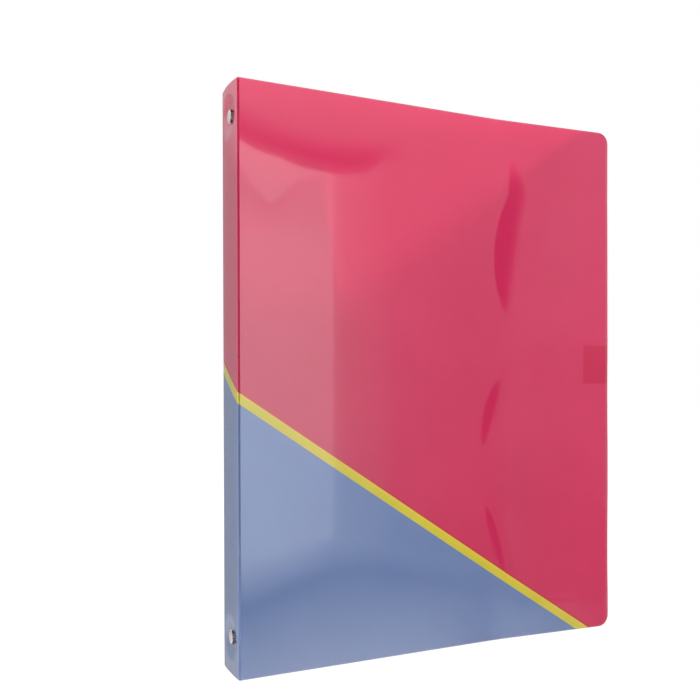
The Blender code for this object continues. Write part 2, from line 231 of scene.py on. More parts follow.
printing = {
    "crimson": (0.460, 0.022, 0.079),
    "crimsonThinAndLit": (0.495, 0.028, 0.090),
    "foreLightFrom": (0.200, 0.244),     # painted light: paler towards the fore edge
    "foreLightGain": 0.6,
    "crimsonGlow": (0.552, 0.031, 0.096),   # where most light comes through the sheet
    # painted light, paler still towards the top
    "crimsonTop": (0.600, 0.034, 0.104),
    "topFrom": 0.296,
    "glowNear": 0.268,              # lower limit of the painted light beside the spine
    "glowBase": 0.160,              # and of its slanting limit further on
    "glowRise": 0.690,
    "slantFrom": (0.046, 0.060),
    "spreadFrom": (0.150, 0.176),   # the limit is soft, and less so past the crease
    "spread": (0.018, 0.005),
    "dim": 0.14,                    # the lower crimson and the stripe lose light towards the spine
    "dimReach": (0.01, 0.13),
    "dimSeam": 0.002,
    "dimHeights": (0.17, 0.22),
    "dimPast": 0.03,                # and the upper crimson does past the crease
    "pastReach": (0.178, 0.200),
    "pastHeights": (0.19, 0.26),
    "blue": (0.120, 0.173, 0.335),
    "blueThin": (0.133, 0.190, 0.352),
    "yellow": (0.500, 0.430, 0.022),
    "yellowThin": (0.530, 0.460, 0.035),
    "warmEdge": (0.70, 0.40, 0.09),         # red ink lying thin over the stripe's upper edge
    "warmDepth": (0.0004, 0.0018),
    "warmShare": 0.6,
    "overprint": (0.39, 0.036, 0.025),
    "overlap": 0.0011,
    "stripeTop": 0.1506,            # height of the stripe's upper edge at the front fold
    "fall": 0.658,                  # drop of the stripe for each metre along the sheet
    "drop": 0.0063,                 # depth of the stripe, straight down
    "blur": 0.00025,
    "lowerBlur": 0.0008,            # its lower edge is printed softer
    "labelTint": (0.42, 0.004, 0.045),
    "labelShade": 0.62,             # painted shade: how much the label shows through the sheet
    "labelBlur": 0.0006,
    "labelInset": 0.0005,           # the label ends this far inside the fore edge
    "scoreShade": 0.28,             # painted shade in a scored fold, and painted light at its foot
    "scoreHeights": (0.03, 0.10),
    "scoreBlur": 0.00005,
    "foldLight": 0.30,              # and a painted highlight on the sheet beside it
    "lightHeights": (0.02, 0.07),
    "besideWidth": 0.0010,
    "besideBlur": 0.0004,
    "rimTint": (0.50, 0.42, 0.47),
    "rimShare": 0.14,               # painted light: paler just inside the cut edges
    "rimWidth": 0.0026,             # half as wide along the top and the foot
    # the cut edges' own paler colour, with a painted highlight
    "cutTint": (0.80, 0.78, 0.80),
    "cutShare": 0.22,
}

sheetFinish = {
    "scatter": {"Subsurface Weight": 0.25, "Subsurface Scale": 0.0008, "Subsurface Radius": (1.0, 0.3, 0.4)},
    "refraction": 1.49,
    "cloud": (16, 4, 0.3, 0.7),     # patches as scale, detail and limits
    "speck": (900, 2, 0.35, 0.65),
    "speckShare": 0.25,
    "gloss": 0.03,
    "cutGloss": 0.3,
    "haze": (35, 5, 0.35, 0.75, 0.6),
    "hazeRough": 0.02,
    "scratchScale": (900, 14, 1),
    "scratchTurn": (0, 0, math.radians(24)),
    "scratch": (1.0, 3, 0.66, 0.74),
    "scratchRough": 0.12,
    "scratchDepth": 0.4,
    "worn": (22, 2, 0.52, 0.66),
    "peel": (240, 2),
    "bump": 0.06,
    "bumpDepth": 0.000012,
}


def boxMask(tree, along, up, left, right, low, high, blur):
    mask = rangeOf(tree, along, left - blur, left)
    for value, edge, sign in ((along, right, 1), (up, high, 1), (up, low, -1)):
        side = rangeOf(tree, value, edge, edge + sign * blur, 1.0, 0.0)
        mask = calc(tree, "MULTIPLY", mask, side)
    return mask


def sheetTone(tree, place):
    f = sheetFinish
    cloud = calc(tree, "MULTIPLY", patches(tree, place, *f["cloud"]), 1 - f["speckShare"])
    return calc(tree, "MULTIPLY_ADD", patches(tree, place, *f["speck"]), f["speckShare"], cloud)


# crimson print with painted light and painted shade
def crimsonInkAndPaintedLight(tree, along, up, tone, fromSpine):
    p = printing
    # painted light: the crimson turns paler towards the fore edge, on top of its random tone
    paleAndLit = calc(tree, "ADD", tone, rangeOf(tree, along, *p["foreLightFrom"], 0.0, p["foreLightGain"]))
    crimson = mixColour(tree, paleAndLit, p["crimson"], p["crimsonThinAndLit"])
    # painted light: lighter above a limit that is level beside the spine and slants up further on
    slant = calc(tree, "MULTIPLY_ADD", along, p["glowRise"], p["glowBase"])
    steeper = calc(tree, "SUBTRACT", slant, p["glowNear"])
    limit = calc(tree, "MULTIPLY_ADD", rangeOf(tree, along, *p["slantFrom"]), steeper, p["glowNear"])
    spread = rangeOf(tree, along, *p["spreadFrom"], *p["spread"])
    glow = rangeOf(tree, up, calc(tree, "SUBTRACT", limit, spread), calc(tree, "ADD", limit, spread))
    top = rangeOf(tree, up, p["topFrom"], height)
    glowing = mixColour(tree, top, p["crimsonGlow"], p["crimsonTop"])
    crimson = mixColour(tree, glow, crimson, glowing)
    dim = calc(tree, "MULTIPLY", fromSpine, rangeOf(tree, up, *p["dimHeights"], 1.0, 0.0))
    past = rangeOf(tree, along, *p["pastReach"], 0.0, p["dimPast"])
    past = calc(tree, "MULTIPLY", past, rangeOf(tree, up, *p["pastHeights"]))
    return mixColour(tree, calc(tree, "ADD", dim, past), crimson, black)


def printColour(tree, place, along, up):
    p = printing
    tone = sheetTone(tree, place)
    # painted shade: the lower crimson and the stripe darker towards the spine
    fromSpine = rangeOf(tree, along, *p["dimReach"], p["dim"], 0.0)
    fromSpine = calc(tree, "MULTIPLY", fromSpine, rangeOf(tree, along, 0.0, p["dimSeam"]))
    crimson = crimsonInkAndPaintedLight(tree, along, up, tone, fromSpine)
    blue = mixColour(tree, tone, p["blue"], p["blueThin"])
    yellow = mixColour(tree, tone, p["yellow"], p["yellowThin"])
    line = calc(tree, "MULTIPLY_ADD", along, -p["fall"], p["stripeTop"])
    depth = calc(tree, "SUBTRACT", line, up)
    warm = rangeOf(tree, depth, *p["warmDepth"], p["warmShare"], 0.0)
    yellow = mixColour(tree, warm, yellow, p["warmEdge"])
    yellow = mixColour(tree, fromSpine, yellow, black)
    inOverlap = rangeOf(tree, depth, -p["overlap"] - p["blur"], -p["overlap"])
    inStripe = rangeOf(tree, depth, -p["blur"], 0)
    inBlue = rangeOf(tree, depth, p["drop"] - p["lowerBlur"], p["drop"])
    colour = mixColour(tree, inOverlap, crimson, p["overprint"])
    colour = mixColour(tree, inStripe, colour, yellow)
    colour = mixColour(tree, inBlue, colour, blue)
    # painted shade where the label shows through the translucent sheet
    behind = boxMask(tree, along, up, *labelOnSheet, labelLow.z, labelHigh.z, p["labelBlur"])
    behind = calc(tree, "MULTIPLY", behind, p["labelShade"])
    return mixColour(tree, behind, colour, p["labelTint"])


# painted shade and highlights along the folds, and painted light along the cut edges
def foldAndRimColour(tree, colour, along, up):
    p = printing
    fromMiddle = calc(tree, "ABSOLUTE", calc(tree, "SUBTRACT", along, spineMiddle))
    start, end = scoreStart - spineMiddle, scoreEnd - spineMiddle
    # painted shade in the scored fold, painted light at its foot, and a painted highlight beside it
    scored = boxMask(tree, fromMiddle, up, start, end, -1, 1, p["scoreBlur"])
    shade = calc(tree, "MULTIPLY", scored, rangeOf(tree, up, *p["scoreHeights"], 0.0, p["scoreShade"]))
    colour = mixColour(tree, shade, colour, black)
    light = calc(tree, "MULTIPLY", scored, rangeOf(tree, up, *p["lightHeights"], p["foldLight"], 0.0))
    colour = mixColour(tree, light, colour, colour, "ADD")
    besideStart = frontSeam - p["besideWidth"] - spineMiddle
    beside = boxMask(tree, fromMiddle, up, besideStart, start, -1, 1, p["besideBlur"])
    colour = mixColour(tree, calc(tree, "MULTIPLY", beside, p["foldLight"]), colour, colour, "ADD")
    # painted light just inside the cut edges
    fromEnd = calc(tree, "MINIMUM", up, calc(tree, "SUBTRACT", height, up))
    toFore = calc(tree, "SUBTRACT", coverWidth - spineMiddle, fromMiddle)
    fromEdge = calc(tree, "MINIMUM", calc(tree, "MULTIPLY", fromEnd, 2.0), toFore)
    rim = rangeOf(tree, fromEdge, 0.0, p["rimWidth"], p["rimShare"], 0.0)
    return mixColour(tree, rim, colour, p["rimTint"])


def sheetLook(name, cutEdge=False):
    p, f = printing, sheetFinish
    look, tree, shader = newLook(name, IOR=f["refraction"], **f["scatter"])
    place = addNode(tree, "ShaderNodeUVMap", uv_map="sheet").outputs["UV"]
    split = addNode(tree, "ShaderNodeSeparateXYZ", {"Vector": place})
    along, up = split.outputs["X"], split.outputs["Y"]
    colour = foldAndRimColour(tree, printColour(tree, place, along, up), along, up)
    # cut edges are paler in their own right, and also carry a painted highlight
    if cutEdge:
        colour = mixColour(tree, p["cutShare"], colour, p["cutTint"])
    tree.links.new(colour, shader.inputs["Base Color"])
    # haze, hairline scratches and the faint peel of rolled sheet
    haze = patches(tree, place, *f["haze"])
    drawn = stretched(tree, place, f["scratchScale"], f["scratchTurn"])
    worn = patches(tree, place, *f["worn"])
    scratch = calc(tree, "MULTIPLY", patches(tree, drawn, *f["scratch"]), worn)
    gloss = f["cutGloss"] if cutEdge else f["gloss"]
    gloss = calc(tree, "MULTIPLY_ADD", haze, f["hazeRough"], gloss)
    gloss = calc(tree, "MULTIPLY_ADD", scratch, f["scratchRough"], gloss)
    tree.links.new(gloss, shader.inputs["Roughness"])
    peel = noiseOf(tree, place, *f["peel"])
    relief = calc(tree, "MULTIPLY_ADD", scratch, -f["scratchDepth"], peel)
    addBump(tree, shader, relief, f["bump"], f["bumpDepth"])
    return look


# The sheet's bent shape: front cover, fold, slightly bowed spine, fold, back cover

sheetForm = {
    "foldRadius": 0.0006,
    "bow": 0.0005,                  # how far the spine bulges between its folds
    "bowOut": 0.0008,               # how far its middle stands out past the plain spine
    "shoulder": 0.0004,             # rounder towards the folds than in the middle
    "topBulge": 0.0006,             # the upper end bulges more
    "bulgeFrom": 0.20,
    "corner": 0.007,                # rounding of the fore-edge corners
    "margin": 0.0007,               # first row of faces inside the cut edge
    "cell": 0.0034,
    "backCoarser": 1.6,
    "spineCell": 0.0012,
    "spineRow": 0.0021,
    "foldCell": 0.00012,
    "apron": 0.0056,                # finer faces beside a fold, to here
    "apronCell": 0.0008,
    "dented": (0.148, 0.200),       # and along the dents
    "dentCell": 0.0011,
    "sharp": math.radians(20),
    "edgeRound": 0.00016,
    "webShare": 0.5,                # thickness left in a scored fold
    "scoreTurn": math.radians(60),  # part of the fold that is scored
    "scoreReach": 0.00004,          # how far the score runs on to the cover
    "scoreWall": 0.00006,
    "scoreFoot": (0.02, 0.10),      # it runs out towards the foot
    "bendReach": 0.0015,            # how far the sheet beside a fold bends with it
    "wave": 0.00005,                # gentle unevenness of the rolled sheet
    "waveScale": (7, 6),
    "fineScale": (21, 17),
    "fineShare": 0.25,
    "waveFrom": (0.001, 0.02),      # none at a fold
    "frontSeed": 3.0,
    "backSeed": 11.0,
    "rivetSeat": 0.00025,           # the sheet is drawn in under a rivet, to here
    "seatFlat": 0.0046,
    "seatWidth": 0.0120,
}

crease = {"start": 0.154, "end": 0.171, "angle": math.radians(4)}

# Dents along the crease: places on the sharp edge as (along, up), how far along it may run, its softness,
# the sheet's tilt past it, the hollow's width, how fast its ends narrow, and where the sheet is level again
dents = [
    {"top": (0.1966, 0.312), "bulge": (0.1598, 0.238), "foot": (0.1745, 0.178), "limit": 0.1685,
     "soft": 0.0014, "tilt": 0.110, "width": 0.058, "taper": 1.0, "span": 0.090},
    {"top": (0.1765, 0.181), "bulge": (0.1532, 0.144), "foot": (0.1495, 0.110), "limit": 0.18,
     "soft": 0.0027, "tilt": 0.084, "width": 0.016, "taper": 1.0, "span": 0.150},
    {"top": (0.1510, 0.085), "bulge": (0.1578, 0.056), "foot": (0.1722, 0.022), "limit": 0.18,
     "soft": 0.0025, "tilt": 0.104, "width": 0.014, "taper": 0.6, "span": 0.150},
]

foldRadius = sheetForm["foldRadius"]
bowTilt = 2 * sheetForm["bow"] / (coverPlane - foldRadius)
foldTurn = math.pi / 2 - bowTilt
spineReach = coverPlane - foldRadius + foldRadius * math.cos(foldTurn)
bowRadius = spineReach / math.sin(bowTilt)
bowCentre = gauge / 2 - sheetForm["bowOut"] + bowRadius
foldStart = bowCentre - bowRadius * math.cos(bowTilt) + foldRadius * math.sin(foldTurn)
frontSeam = foldStart - foldRadius * foldTurn
spineMiddle = frontSeam - bowRadius * bowTilt
backSeam = 2 * spineMiddle - frontSeam
scoreStart = foldStart - foldRadius * sheetForm["scoreTurn"]
scoreEnd = foldStart + sheetForm["scoreReach"]


def creasePlace(u):
    bendRadius = (crease["end"] - crease["start"]) / crease["angle"]
    angle = min(max(u - crease["start"], 0) / bendRadius, crease["angle"])
    straight = max(u - crease["end"], 0)
    along = min(u, crease["start"]) + bendRadius * math.sin(angle) + straight * math.cos(crease["angle"])
    outward = bendRadius * (1 - math.cos(angle)) + straight * math.sin(crease["angle"])
    return along, outward, angle


def creaseUnroll(along):
    # sheet distance of a place past the crease
    atEnd = creasePlace(crease["end"])[0]
    return crease["end"] + (along - atEnd) / math.cos(crease["angle"])


labelOnSheet = (creaseUnroll(labelLow.x - spineFace), coverWidth - printing["labelInset"])


def sheetPlan(u):
    # middle of the sheet in plan, and the way out of it, for a distance along the unfolded sheet
    if u < spineMiddle:
        place, way = sheetPlan(2 * spineMiddle - u)
        if place.x > foldStart:
            place, way = Vector((2 * spineMiddle - u, -coverPlane)), Vector((0, -1))
        return Vector((place.x, -place.y)), Vector((way.x, -way.y))
    if u >= foldStart:
        along, outward, angle = creasePlace(u)
        return Vector((along, -coverPlane - outward)), Vector((-math.sin(angle), -math.cos(angle)))
    turned = (foldStart - u) / foldRadius
    if turned <= foldTurn:
        way = Vector((-math.sin(turned), -math.cos(turned)))
        return Vector((foldStart, foldRadius - coverPlane)) + way * foldRadius, way
    bend = (spineMiddle - u) / bowRadius
    way = Vector((-math.cos(bend), math.sin(bend)))
    return Vector((bowCentre, 0)) + way * bowRadius, way


def sheetPoint(u, z, out):
    place, way = sheetPlan(u)
    place = place + way * out
    return Vector((spineFace + place.x, middle + place.y, z))


def waviness(u, z, seed):
    f = sheetForm
    along, up = f["waveScale"]
    broad = noise.noise(Vector((u * along, z * up, seed)))
    along, up = f["fineScale"]
    fine = noise.noise(Vector((u * along, z * up, seed + 5)))
    return f["wave"] * (broad - 1 + f["fineShare"] * (fine - 1))


def dentDepth(dent, u, z):
    (topU, topZ), (midU, midZ), (footU, footZ) = dent["top"], dent["bulge"], dent["foot"]
    if not footZ < z < topZ:
        return 0.0
    # sharp edge of the crescent at this height, on a parabola through its three places
    edge = topU * (z - midZ) * (z - footZ) / ((topZ - midZ) * (topZ - footZ))
    edge += midU * (z - topZ) * (z - footZ) / ((midZ - topZ) * (midZ - footZ))
    edge += footU * (z - topZ) * (z - midZ) / ((footZ - topZ) * (footZ - midZ))
    past = u - min(edge, dent["limit"])
    if past <= 0:
        return 0.0
    past = math.hypot(past, dent["soft"]) - dent["soft"]
    swell = math.sin(math.pi * (z - footZ) / (topZ - footZ)) ** dent["taper"]
    width = dent["width"] * swell
    share = min(past / width, 1)
    sink = dent["tilt"] * math.sqrt(swell) * width * (share - 2 * share**3 / 3 + share**5 / 5)
    return sink * (1 - easeIn(past, 0, dent["span"]))


def frontRelief(u, z):
    wave = waviness(u, z, sheetForm["frontSeed"]) * easeIn(u - foldStart, *sheetForm["waveFrom"])
    return wave - sum(dentDepth(dent, u, z) for dent in dents)


def backRelief(u, z):
    fromFold = 2 * spineMiddle - u - foldStart
    return waviness(u, z, sheetForm["backSeed"]) * easeIn(fromFold, *sheetForm["waveFrom"])


def spineRelief(u, z):
    f = sheetForm
    across = (u - spineMiddle) / (frontSeam - spineMiddle)
    bulge = f["topBulge"] * easeIn(z, f["bulgeFrom"], height) * (1 - across * across) ** 2
    bulge += f["shoulder"] * across * across * (1 - across * across)
    for level in rivetLevels.values():
        away = math.hypot(u - spineMiddle, z - level)
        held = 1 - easeIn(away, f["seatFlat"], f["seatWidth"])
        bulge -= held * (bulge + f["bowOut"] + f["rivetSeat"])
    return bulge


def sheetShare(u, z):
    # thickness left in the sheet: scored folds are thin, but not at their foot
    f = sheetForm
    if not scoreStart <= max(u, 2 * spineMiddle - u) <= scoreEnd:
        return 1.0
    return 1 - (1 - f["webShare"]) * easeIn(z, *f["scoreFoot"])


def bendSheet(name, bm, columns, rows, relief, scored):
    cutGrid(bm, columns, rows)
    bm.normal_update()
    unfolded = bm.loops.layers.uv.new("sheet")
    for face in bm.faces:
        face.material_index = 1 if abs(face.normal.z) < 0.5 else 0
        for loop in face.loops:
            loop[unfolded].uv = loop.vert.co.xy
    for v in bm.verts:
        u, z, out = v.co
        share = sheetShare(u, z) if scored else 1.0
        v.co = sheetPoint(u, z, relief(u, z) - gauge / 2 + out * share)
    return meshPiece(name, bm, printedSheet, cutSheet, sharp=sheetForm["sharp"])


def sheetRows(step):
    margin = sheetForm["margin"]
    return [margin] + stations(0, height, step)[1:-1] + [height - margin]


def foldColumns():
    f = sheetForm
    columns = stations(frontSeam, scoreStart - f["scoreWall"], f["foldCell"])[1:]
    columns += stations(scoreStart, scoreEnd, f["foldCell"])
    return columns + stations(scoreEnd + f["scoreWall"], f["apron"], f["apronCell"])


def buildFrontSheet():
    f = sheetForm
    start, end = f["dented"]
    columns = foldColumns() + stations(f["apron"], start, f["cell"])[1:]
    columns += stations(start, end, f["dentCell"])[1:]
    columns += stations(end, coverWidth - f["margin"], f["cell"])[1:]
    bm = slab(frontSeam, coverWidth, 0, height, gauge, f["edgeRound"], f["corner"], [coverWidth], [frontSeam])
    piece = bendSheet("frontSheet", bm, columns, sheetRows(f["cell"]), frontRelief, True)
    standsFor(piece, "cover_sheet", "front_cover", "front_hinge_web")
    sheetPoint(frontSeam, 0, 0)
    sheetPoint(f["bendReach"], 0, 0)
    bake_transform(piece)


def buildBackSheet():
    f = sheetForm
    cell = f["backCoarser"] * f["cell"]
    columns = foldColumns() + stations(f["apron"], coverWidth - f["margin"], cell)[1:]
    columns = [2 * spineMiddle - u for u in columns]
    end = 2 * spineMiddle - coverWidth
    bm = slab(end, backSeam, 0, height, gauge, f["edgeRound"], f["corner"], [end], [backSeam])
    piece = bendSheet("backSheet", bm, columns, sheetRows(cell), backRelief, True)
    standsFor(piece, "cover_sheet", "back_cover", "back_hinge_web")
    sheetPoint(backSeam, 0, 0)
    sheetPoint(2 * spineMiddle - f["bendReach"], 0, 0)
    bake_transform(piece)


def buildSpineSheet():
    f = sheetForm
    columns = stations(backSeam, frontSeam, f["spineCell"])[1:-1]
    bm = slab(backSeam, frontSeam, 0, height, gauge, f["edgeRound"])
    piece = bendSheet("spineSheet", bm, columns, sheetRows(f["spineRow"]), spineRelief, False)
    standsFor(piece, "cover_sheet", "spine_panel")
    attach(piece, "spine")


printedSheet = sheetLook("printedSheet")
cutSheet = sheetLook("cutSheet", True)
buildFrontSheet()
buildBackSheet()
buildSpineSheet()


# Label stuck inside the front cover

labelForm = {
    "corner": 0.001,
    "thick": 0.00018,
    "air": 0.00003,
    "edgeRound": 0.00004,
    "cell": 0.0012,
    "lift": 0.0006,               # one corner has come away a little
    "liftReach": 0.006,
    "film": (0.36, 0.012, 0.055),
    "filmWorn": (0.43, 0.03, 0.085),
    "fibreScale": (400, 400, 2600),
    "fibre": (0.3, 0.7),
    "rub": (210, 3, 0.42, 0.72),
    "rough": (0.38, 0.55),
    "bump": 0.2,
    "bumpDepth": 0.00002,
    "sharp": math.radians(40),
}


def labelLook():
    f = labelForm
    look, tree, shader = newLook("labelFilm")
    place = addNode(tree, "ShaderNodeTexCoord").outputs["Object"]
    fibre = noiseOf(tree, stretched(tree, place, f["fibreScale"]), 1.0, 4)
    rub = patches(tree, place, *f["rub"])
    tone = calc(tree, "MULTIPLY", rangeOf(tree, fibre, *f["fibre"]), rub)
    colour = mixColour(tree, tone, f["film"], f["filmWorn"])
    tree.links.new(colour, shader.inputs["Base Color"])
    tree.links.new(rangeOf(tree, rub, 0, 1, *f["rough"]), shader.inputs["Roughness"])
    addBump(tree, shader, fibre, f["bump"], f["bumpDepth"])
    return look


def buildLabel():
    f = labelForm
    left, right = labelOnSheet
    low, high = labelLow.z, labelHigh.z
    bm = slab(left, right, low, high, f["thick"], f["edgeRound"], f["corner"], labelOnSheet)
    cutGrid(bm, stations(left, right, f["cell"])[1:-1], stations(low, high, f["cell"])[1:-1])
    for v in bm.verts:
        u, z, out = v.co
        near = 1 - min(math.hypot(u - left, z - low) / f["liftReach"], 1)
        under = gauge / 2 + f["air"] + f["thick"] + f["lift"] * near * near
        v.co = sheetPoint(u, z, frontRelief(u, z) - under + out)
    piece = meshPiece("indexLabel", bm, labelLook(), sharp=f["sharp"])
    standsFor(piece, "label_film", "index_label")
    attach(piece, "front_board")


buildLabel()


# Plated and plain steel: two tones, roughness, how much wear adds to it, and the scale of the grain

metalForm = {
    "housingNickel": {"pale": (0.76, 0.74, 0.70), "deep": (0.66, 0.64, 0.60), "rough": 0.17, "worn": 0.10,
                      "grain": (900, 900, 45)},
    "ringNickel": {"pale": (0.78, 0.76, 0.72), "deep": (0.68, 0.66, 0.62), "rough": 0.12, "worn": 0.08,
                   "grain": (1400, 1400, 1400)},
    "rivetNickel": {"pale": (0.66, 0.62, 0.60), "deep": (0.56, 0.53, 0.51), "rough": 0.14, "worn": 0.08,
                    "grain": (700, 700, 700)},
    "bladeSteel": {"pale": (0.60, 0.60, 0.59), "deep": (0.46, 0.46, 0.46), "rough": 0.32, "worn": 0.14,
                   "grain": (1100, 1100, 30)},
    "collarSteel": {"pale": (0.60, 0.60, 0.59), "deep": (0.48, 0.48, 0.47), "rough": 0.30, "worn": 0.12,
                    "grain": (60, 1200, 1200)},
}

metalWear = {
    "streak": (0.3, 0.7),
    "streakShare": 0.4,
    "cloud": (130, 4, 0.35, 0.7),
    "rub": (420, 3, 0.4, 0.75),
    "bump": 0.15,
    "bumpDepth": 0.00001,
}


def metalLook(name, pale, deep, rough, worn, grain):
    f = metalWear
    look, tree, shader = newLook(name, Metallic=1.0)
    place = addNode(tree, "ShaderNodeTexCoord").outputs["Object"]
    streak = noiseOf(tree, stretched(tree, place, grain), 1.0, 4, 0.6)
    cloud = calc(tree, "MULTIPLY", patches(tree, place, *f["cloud"]), 1 - f["streakShare"])
    tone = calc(tree, "MULTIPLY_ADD", rangeOf(tree, streak, *f["streak"]), f["streakShare"], cloud)
    tree.links.new(mixColour(tree, tone, pale, deep), shader.inputs["Base Color"])
    rub = calc(tree, "MULTIPLY_ADD", patches(tree, place, *f["rub"]), worn, rough - worn / 2)
    gloss = calc(tree, "MULTIPLY_ADD", streak, worn, rub)
    tree.links.new(gloss, shader.inputs["Roughness"])
    addBump(tree, shader, streak, f["bump"], f["bumpDepth"])
    return look


metals = {name: metalLook(name, **form) for name, form in metalForm.items()}
print("metals mixed")


# Ring mechanism, built as (rise from the spine's inner face, reach from its middle, height)

def setInSpine(bm):
    bmesh.ops.translate(bm, vec=(inner, middle, 0), verts=bm.verts)


housingLow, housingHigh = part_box("ring_housing")

housingForm = {
    "steel": 0.0007,
    "shoulder": 0.0025,
    "lipReach": 0.0070,
    "lipBend": 0.0009,
    "archSteps": 16,
    "lipSteps": 5,
    "straight": 0.9,               # share of the length before the rounded ends
    "endRows": (0.0009, 0.0018),
    "nose": 0.75,                  # rounding of the ends, as a share of the half width
    "slotHalf": 0.0019,
    "slotStart": 0.0039,
    "slotFloor": 0.0022,
    "seatSink": 0.00035,           # flat pressed round each rivet
    "seatInner": 0.0042,
    "seatOuter": 0.0064,
    "seatRows": 0.0066,
    "seatCell": 0.0006,
    "edgeRound": 0.00018,
    "softFrom": math.radians(55),
}


def housingEnd(reach, halfWidth, halfLength):
    # half length at this reach, with the ends rounded in plan
    radius = halfWidth * housingForm["nose"]
    past = max(abs(reach) - (halfWidth - radius), 0)
    return halfLength - radius + math.sqrt(max(radius * radius - past * past, 0))


def housingStrip(crown, halfWidth, lipRise, low, length):
    # half a section spun and drawn from the crown round to the lip, mirrored, then drawn out to its length
    f = housingForm
    arch = crown - f["shoulder"]
    archRadius = (halfWidth ** 2 + arch ** 2) / (2 * arch)
    spread = math.asin(halfWidth / archRadius)
    bm = bmesh.new()
    start = bm.verts.new((crown, 0, low))
    turned = bmesh.ops.spin(bm, geom=[start], cent=(crown - archRadius, 0, low), axis=(0, 0, 1), angle=spread,
                            steps=f["archSteps"], use_merge=False)["geom_last"]
    side = bmesh.ops.extrude_vert_indiv(bm, verts=vertsIn(turned))["verts"]
    bmesh.ops.translate(bm, vec=(lipRise + f["lipBend"] - f["shoulder"], 0, 0), verts=side)
    bendCentre = (lipRise + f["lipBend"], halfWidth - f["lipBend"], 0)
    bend = bmesh.ops.spin(bm, geom=side, cent=bendCentre, axis=(0, 0, 1), angle=math.pi / 2,
                          steps=f["lipSteps"], use_merge=False)["geom_last"]
    lip = bmesh.ops.extrude_vert_indiv(bm, verts=vertsIn(bend))["verts"]
    bmesh.ops.translate(bm, vec=(0, f["lipReach"] - (halfWidth - f["lipBend"]), 0), verts=lip)
    bmesh.ops.mirror(bm, geom=bm.verts[:] + bm.edges[:], matrix=Matrix.Identity(4), axis="Y", merge_dist=1e-6)
    ribbon = bmesh.ops.extrude_edge_only(bm, edges=bm.edges[:])["geom"]
    bmesh.ops.translate(bm, vec=(0, 0, length), verts=vertsIn(ribbon))
    return bm


def cutHousing(bm, centre, halfLength):
    # rows for the rounded ends and the rivet seats, and slots where the rings come out
    f = housingForm
    levels = [centre]
    for end in (-1, 1):
        levels += [centre + end * (halfLength - row) for row in f["endRows"]]
        levels += [centre + end * f["straight"] * halfLength]
    for level in rivetLevels.values():
        levels += stations(level - f["seatRows"], level + f["seatRows"], f["seatCell"])
    for level in ringLevels:
        levels += [level - f["slotHalf"], level + f["slotHalf"]]
    for z in levels:
        cutAcross(bm, (0, 0, z), (0, 0, 1))
    for reach in (-f["slotStart"], f["slotStart"]):
        cutAcross(bm, (0, reach, 0), (0, 1, 0))
    cutAcross(bm, (f["slotFloor"], 0, 0), (1, 0, 0))
    slots = []
    for face in bm.faces:
        place = face.calc_center_median()
        atRing = any(abs(place.z - level) < f["slotHalf"] for level in ringLevels)
        if atRing and abs(place.y) > f["slotStart"] and place.x > f["slotFloor"]:
            slots.append(face)
    bmesh.ops.delete(bm, geom=slots, context="FACES")


def shapeHousing(bm, crown, halfWidth, centre, halfLength):
    # draws the ends in to their rounding and presses the rivet seats flat
    f = housingForm
    straight = f["straight"] * halfLength
    for v in bm.verts:
        fromCentre = abs(v.co.z - centre)
        if fromCentre > straight:
            end = housingEnd(v.co.y, halfWidth + f["steel"] / 2, halfLength)
            tip = straight + (fromCentre - straight) / (halfLength - straight) * (end - straight)
            v.co.z = centre + math.copysign(tip, v.co.z - centre)
        for level in rivetLevels.values():
            away = math.hypot(v.co.y, v.co.z - level)
            if v.co.x > f["shoulder"] and away < f["seatOuter"]:
                flat = 1 - easeIn(away, f["seatInner"], f["seatOuter"])
                v.co.x += flat * (crown - f["seatSink"] - v.co.x)


def buildHousing():
    f = housingForm
    halfWidth = (housingHigh.y - housingLow.y) / 2 - f["steel"] / 2
    crown = housingHigh.x - inner - f["steel"] / 2
    lipRise = housingLow.x - inner + f["steel"] / 2
    halfLength = (housingHigh.z - housingLow.z) / 2
    centre = (housingHigh.z + housingLow.z) / 2
    bm = housingStrip(crown, halfWidth, lipRise, centre - halfLength, 2 * halfLength)
    cutHousing(bm, centre, halfLength)
    shapeHousing(bm, crown, halfWidth, centre, halfLength)
    bmesh.ops.remove_doubles(bm, verts=bm.verts[:], dist=1e-6)
    bmesh.ops.recalc_face_normals(bm, faces=bm.faces[:])
    setInSpine(bm)
    piece = meshPiece("ringHousing", bm, metals["housingNickel"])
    solid = piece.modifiers.new("steel", "SOLIDIFY")
    solid.thickness = f["steel"]
    solid.offset = 0.0
    soften = piece.modifiers.new("softEdge", "BEVEL")
    soften.limit_method = "ANGLE"
    soften.angle_limit = f["softFrom"]
    soften.width = f["edgeRound"]
    soften.segments = 2
    standsFor(piece, "housing_nickel", "ring_housing")
    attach(piece, "spine")


buildHousing()


sides = {"front": -1, "back": 1}

bladeForm = {
    "steel": 0.0009,
    "edge": 0.0004,               # part of the strip outside its axis
    "gap": 0.0003,                # half the gap between the two strips
    "corner": 0.0015,
    "tilt": math.radians(3),
    "edgeRound": 0.00015,
    "beadDepth": 0.00022,         # shallow bead that stiffens the strip
    "beadAt": 0.0052,
    "beadWidth": 0.0012,
    "beadCell": 0.0004,
    "beadEnds": (0.004, 0.02),    # it runs out towards the strip's ends
    "row": 0.008,
    "sharp": math.radians(40),
}


